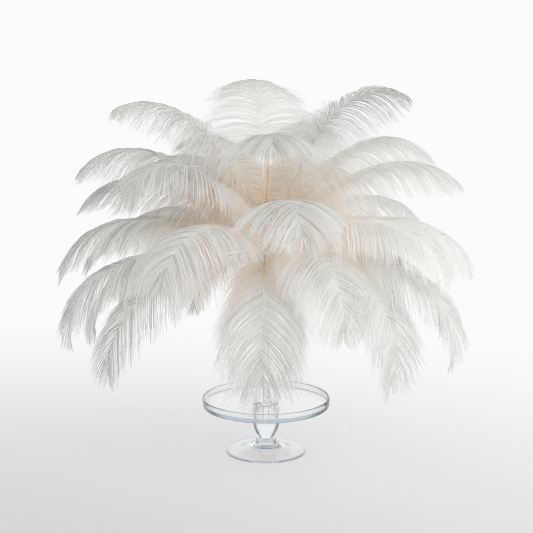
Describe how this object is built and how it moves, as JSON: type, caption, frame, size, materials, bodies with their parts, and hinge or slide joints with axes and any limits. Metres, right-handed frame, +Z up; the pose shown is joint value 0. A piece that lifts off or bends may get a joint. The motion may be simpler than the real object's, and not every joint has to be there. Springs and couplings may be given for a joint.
{
  "type": "ostrich feather centrepiece",
  "caption": "Palm-like bunch of arching white ostrich feathers pushed into a foam ball, held on a clear rod above a footed clear glass plate with a low rim.",
  "frame": {"origin": "on the surface the piece stands on, under the middle of the round glass foot", "axes": "+Z up along the stand's turning axis, -Y towards the viewer of the picture, +X to that viewer's right"},
  "size_m": [0.7865, 0.6027, 0.7212],
  "materials": {
    "clear_glass": "clear pressed glass, polished",
    "clear_acrylic": "clear cast acrylic, polished",
    "white_foam": "moulded bead foam, matte",
    "plume": "bleached ostrich plume, soft and fibrous"
  },
  "bodies": {
    "root": {"glass_stand": "clear_glass", "clear_rod": "clear_acrylic", "foam_ball": "white_foam", "feather_top": "plume", "feather_upper_front": "plume", "feather_upper_right": "plume", "feather_upper_back_right": "plume", "feather_upper_back_left": "plume", "feather_upper_left": "plume", "feather_shoulder_front": "plume", "feather_shoulder_right": "plume", "feather_shoulder_right_rear": "plume", "feather_shoulder_back_right": "plume", "feather_shoulder_back": "plume", "feather_shoulder_back_left": "plume", "feather_shoulder_left_rear": "plume", "feather_shoulder_left": "plume", "feather_shoulder_left_front": "plume", "feather_middle_front_left": "plume", "feather_middle_right_front": "plume", "feather_middle_right": "plume", "feather_middle_right_rear": "plume", "feather_middle_right_back": "plume", "feather_middle_back_right": "plume", "feather_middle_back_left": "plume", "feather_middle_left_back": "plume", "feather_middle_left_rear": "plume", "feather_middle_left": "plume", "feather_low_front": "plume", "feather_low_front_right": "plume", "feather_low_right_front": "plume", "feather_low_right": "plume", "feather_low_right_rear": "plume", "feather_low_right_back": "plume", "feather_low_back_right": "plume", "feather_low_back": "plume", "feather_low_back_left": "plume", "feather_low_left_back": "plume", "feather_low_left_rear": "plume", "feather_low_left": "plume", "feather_low_left_front": "plume"}
  },
  "joints": []
}
